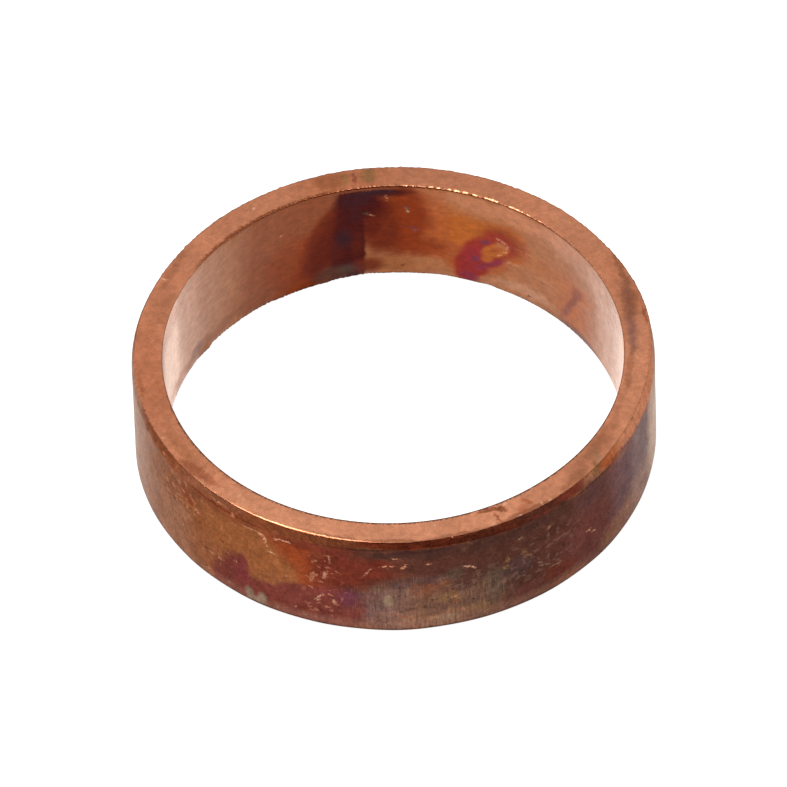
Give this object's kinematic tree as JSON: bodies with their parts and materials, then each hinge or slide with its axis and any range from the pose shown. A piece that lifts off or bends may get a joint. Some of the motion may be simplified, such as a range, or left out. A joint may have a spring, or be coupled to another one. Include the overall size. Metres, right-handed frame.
{
  "type": "ring washer",
  "caption": "Plain ring washer cut from thin copper tube, tall for its wall, with a bevelled upper outside edge. It spaces or seals between two faces around a pipe, stud or shoulder.",
  "frame": {"origin": "centre of the flat end that the ring stands on, on the bore's axis", "axes": "+Z along the bore axis, from the lower flat end towards the bevelled end; X and Y are any two radial directions"},
  "size_m": [0.025, 0.025, 0.006],
  "materials": {
    "copper": "satin"
  },
  "bodies": {
    "root": {"copper_ring": "copper"}
  },
  "joints": []
}
